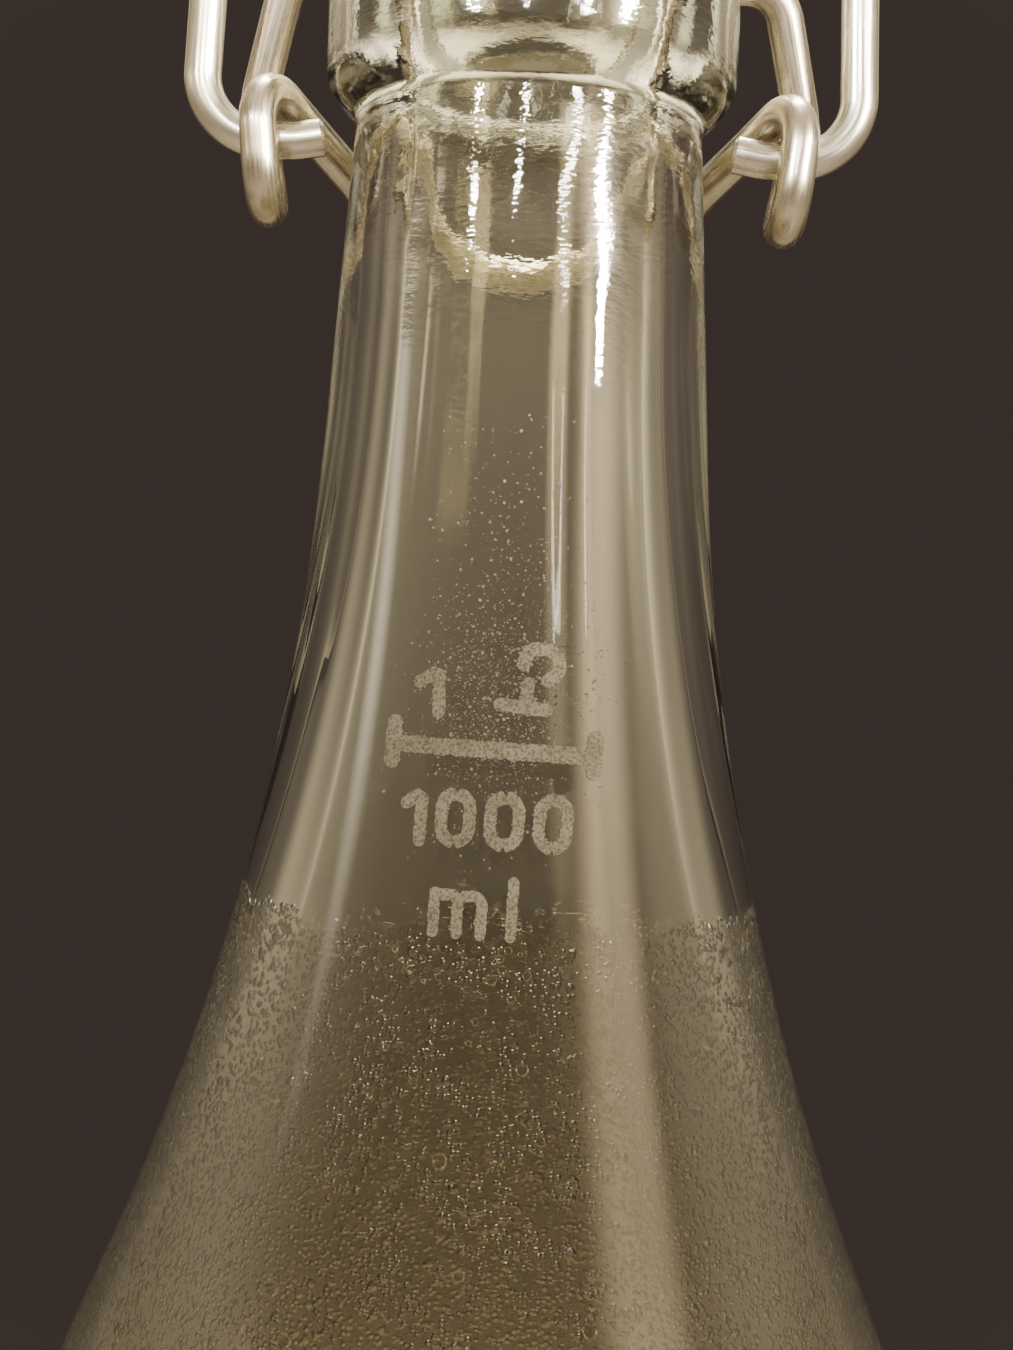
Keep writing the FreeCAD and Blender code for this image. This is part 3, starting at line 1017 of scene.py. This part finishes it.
def make_stopper():
    profile = outline([
        (0, PLUG_BOTTOM, 0),
        (PLUG_TIP_RADIUS, PLUG_BOTTOM, PLUG_TIP_ROUND),
        (PLUG_RADIUS, PLUG_TOP, EDGE_EASE),
        (SPIGOT_RADIUS, PLUG_TOP, 0),
        (SPIGOT_RADIUS, SEAL_TOP, 0),
        (HEAD_RADIUS, SEAL_TOP, HEAD_RIM_ROUND),
        (HEAD_TOP_RADIUS, HEAD_TOP, HEAD_TOP_ROUND),
        (0, HEAD_TOP, 0),
    ], STOPPER_STEP)

    def cast_wall(_, angle, radius, height):
        return radius - STOPPER_WANDER * hollow_noise(angle, height, 1.8, 6)

    mesh = turned_mesh("porcelain_stopper", profile, even_angles(STOPPER_SIDES), cast_wall)
    stopper = add_object("porcelain_stopper", mesh)
    bar_share = (BAR_HEIGHT - SEAL_TOP) / (HEAD_TOP - SEAL_TOP)
    side_x = HEAD_RADIUS - (HEAD_RADIUS - HEAD_TOP_RADIUS) * bar_share
    flare_start = side_x - BAR_HOLE_FLARE / 2
    flare_end = side_x + BAR_HOLE_FLARE / 2
    wide = BAR_HOLE_RADIUS + BAR_HOLE_FLARE
    hole = outline([
        (0, -flare_end, 0),
        (wide, -flare_end, 0),
        (BAR_HOLE_RADIUS, -flare_start, FLARE_ROUND),
        (BAR_HOLE_RADIUS, flare_start, FLARE_ROUND),
        (wide, flare_end, 0),
        (0, flare_end, 0),
    ], STOPPER_STEP)
    cut_away(stopper, [cutter_along_x("bar_hole", hole, BAR_HEIGHT)])
    return dressed(stopper, [glazed_porcelain()], 35)


def make_seal():
    """Rubber ring with a shallow pressed groove where the mouth has marked its underside."""
    groove_height = SEAL_BOTTOM + GROOVE_DEPTH
    profile = outline([
        (SEAL_HOLE_RADIUS, SEAL_BOTTOM, 0),
        (GROOVE_INNER_RADIUS, SEAL_BOTTOM, GROOVE_ROUND),
        (GROOVE_FLOOR_INNER_RADIUS, groove_height, GROOVE_ROUND),
        (GROOVE_FLOOR_OUTER_RADIUS, groove_height, GROOVE_ROUND),
        (GROOVE_OUTER_RADIUS, SEAL_BOTTOM, GROOVE_EDGE_ROUND),
        (SEAL_RADIUS, SEAL_BOTTOM, SEAL_EDGE_ROUND),
        (SEAL_RADIUS, SEAL_TOP, SEAL_EDGE_ROUND),
        (SEAL_HOLE_RADIUS, SEAL_TOP, 0),
        (SEAL_HOLE_RADIUS, SEAL_BOTTOM, 0),
    ], SEAL_STEP)[:-1]

    def moulded_wall(_, angle, radius, height):
        if radius < SEAL_HOLE_RADIUS + STEADY_HOLE_WALL:
            return radius
        return radius - SEAL_WANDER * hollow_noise(angle, height, 2.2, 4)

    angles = even_angles(STOPPER_SIDES)
    mesh = turned_mesh("rubber_seal", profile, angles, moulded_wall, closed=True)
    return dressed(add_object("rubber_seal", mesh), [pale_rubber()])


# Floor, light and camera

FLOOR_RADIUS = 0.58
FLOOR_DROP = 0.0003
FLOOR_SIDES = 160


def make_floor():
    shape = bmesh.new()
    bmesh.ops.create_circle(shape, cap_ends=True, segments=FLOOR_SIDES, radius=FLOOR_RADIUS)
    mesh = bpy.data.meshes.new("floor")
    shape.to_mesh(mesh)
    shape.free()
    mesh.materials.append(pale_floor_finish())
    floor = add_object("floor", mesh)
    floor.location.z = -FLOOR_DROP


LAMP_TINT = (1.0, 0.94, 0.84)

# Each lamp's azimuth (0 in front, 90 to the right), distance, height, size, lean, height aimed at, beam
# and watts, in metres and degrees

LAMPS = {
    "lamp_left": (-36, 0.28, 0.393, (0.014, 0.060), 38, 0.322, 15, 0.026),
    "lamp_middle": (-4, 0.28, 0.398, (0.013, 0.046), -25, 0.322, 15, 0.022),
    "lamp_right": (30, 0.28, 0.392, (0.013, 0.080), -58, 0.322, 15, 0.030),
    "lamp_far_right": (53, 0.28, 0.386, (0.018, 0.090), -48, 0.322, 15, 0.045),
    "lamp_low": (47, 0.28, 0.353, (0.020, 0.025), 0, 0.285, 12, 0.016),
    "lamp_behind": (172, 0.10, 0.560, (0.18, 0.12), 0, 0.305, 70, 0.6),
}


def add_lamp(name, azimuth, distance, height, size, lean, aim, spread, watts):
    data = bpy.data.lights.new(name, "AREA")
    data.shape = "RECTANGLE"
    data.size, data.size_y = size
    data.energy = watts
    data.spread = math.radians(spread)
    data.color = LAMP_TINT
    lamp = bpy.data.objects.new(name, data)
    scene.collection.objects.link(lamp)
    turn = math.radians(azimuth)
    lamp.location = (math.sin(turn) * distance, -math.cos(turn) * distance, height)
    facing = (Vector((0, 0, aim)) - lamp.location).to_track_quat("-Z", "Y")
    lamp.rotation_euler = (facing @ Quaternion((0, 0, 1), math.radians(lean))).to_euler()
    lamp.visible_camera = False


def make_light():
    """Small lamps close to the closure; the broad light comes from the room."""
    for name, settings in LAMPS.items():
        add_lamp(name, *settings)


# The room darkens between two values of the view direction's Y. Each of its soft light panels is its
# azimuth (0 in front, 90 to the right) and elevation, both as (middle, half size, soft edge) in degrees,
# then its glow

ROOM_DARK_START = 0.3
ROOM_DARK_FULL = 0.96
ROOM_DARK = colour(0.046, 0.034, 0.030)
ROOM_BRIGHT = colour(0.45, 0.37, 0.25)
ROOM_PANELS = [
    ((0.0, 105.0, 25.0), (11.0, 6.0, 5.0), colour(1.5, 1.25, 0.85)),
    ((0.0, 95.0, 25.0), (58.0, 16.0, 10.0), colour(1.1, 0.92, 0.64)),
    ((50.0, 10.0, 9.0), (11.0, 8.0, 6.0), colour(14.0, 10.8, 6.4)),
    ((50.0, 9.0, 8.0), (31.0, 14.0, 6.0), colour(3.9, 3.1, 1.9)),
    ((150.0, 30.0, 15.0), (47.0, 16.0, 8.0), colour(3.2, 2.7, 1.9)),
    ((-150.0, 30.0, 15.0), (47.0, 16.0, 8.0), colour(3.2, 2.7, 1.9)),
    ((147.0, 9.0, 6.0), (19.0, 4.0, 5.0), colour(1.3, 1.2, 0.75)),
    ((-147.0, 9.0, 6.0), (19.0, 4.0, 5.0), colour(1.3, 1.2, 0.75)),
    ((0.0, 175.0, 5.0), (84.0, 12.0, 8.0), colour(2.0, 1.7, 1.2)),
    ((-73.0, 3.5, 3.5), (11.0, 3.0, 1.5), colour(10.0, 8.6, 6.2)),
]


def make_surroundings():
    """A room that is dark behind the bottle and lighter elsewhere, with soft light panels."""
    world = bpy.data.worlds.new("room")
    world.use_nodes = True
    scene.world = world
    wiring = Wiring(world.node_tree)
    view = wiring.node("ShaderNodeTexCoord").outputs["Generated"]
    direction = wiring.node("ShaderNodeSeparateXYZ", Vector=view).outputs
    forward = direction["Y"]
    azimuth = wiring.math("ARCTAN2", direction["X"], wiring.math("MULTIPLY", forward, -1.0))
    elevation = wiring.math("ARCSINE", direction["Z"])

    def within(angle, middle, half, soft):
        away = wiring.math("ABSOLUTE", wiring.math("SUBTRACT", angle, math.radians(middle)))
        return wiring.ramp(away, math.radians(half - soft), math.radians(half + soft), 1.0, 0.0)

    openness = wiring.ramp(forward, ROOM_DARK_START, ROOM_DARK_FULL, 1.0, 0.0)
    shade = wiring.blend(openness, ROOM_DARK, ROOM_BRIGHT)
    for across, up, glow in ROOM_PANELS:
        panel = wiring.math("MULTIPLY", within(azimuth, *across), within(elevation, *up))
        shade = wiring.blend(panel, shade, glow)
    wiring.join(shade, world.node_tree.nodes["Background"].inputs["Color"])


def make_camera():
    data = bpy.data.cameras.new("photo_camera")
    data.sensor_width = SENSOR_LONG_SIDE
    data.lens = FOCAL_PIXELS / IMAGE_HEIGHT * SENSOR_LONG_SIDE
    data.clip_start = NEAREST_SEEN * MM
    viewer = bpy.data.objects.new("photo_camera", data)
    scene.collection.objects.link(viewer)
    viewer.location = (0, -CAMERA_DISTANCE * MM, CAMERA_HEIGHT * MM)
    viewer.rotation_euler = (math.pi / 2, math.radians(CAMERA_ROLL), 0)
    scene.camera = viewer


make_camera()
make_surroundings()
make_light()
make_floor()

place(make_bottle(), "bottle", "glass", "glass_bottle")
place(make_inner_drops(), "bottle", "glass")
blasted = sandblasted_glass()
mark_chance = random.Random(MARK_SEED)
for mark_name, (stroke_width, mark_strokes) in MARK_PIECES.items():
    place(make_mark(mark_name, stroke_width, mark_strokes, blasted, mark_chance), "bottle", "glass")
place(make_overspray(blasted), "bottle", "glass")
lever_finish = drawn_steel("lever_steel", colour(0.70, 0.64, 0.54), colour(0.46, 0.39, 0.29), 420.0)
bail_finish = drawn_steel("bail_steel", colour(0.76, 0.71, 0.62), colour(0.60, 0.54, 0.44), 320.0)
place(make_wire("lever_steel_wire", LEVER_PATH, lever_finish), "lever", "lever_steel", "lever_wire")
place(make_wire("bail_steel_wire", BAIL_PATH, bail_finish), "bail", "bail_steel", "bail_wire")
place(make_stopper(), "stopper", "porcelain", "stopper")
place(make_seal(), "stopper", "rubber", "seal_washer")
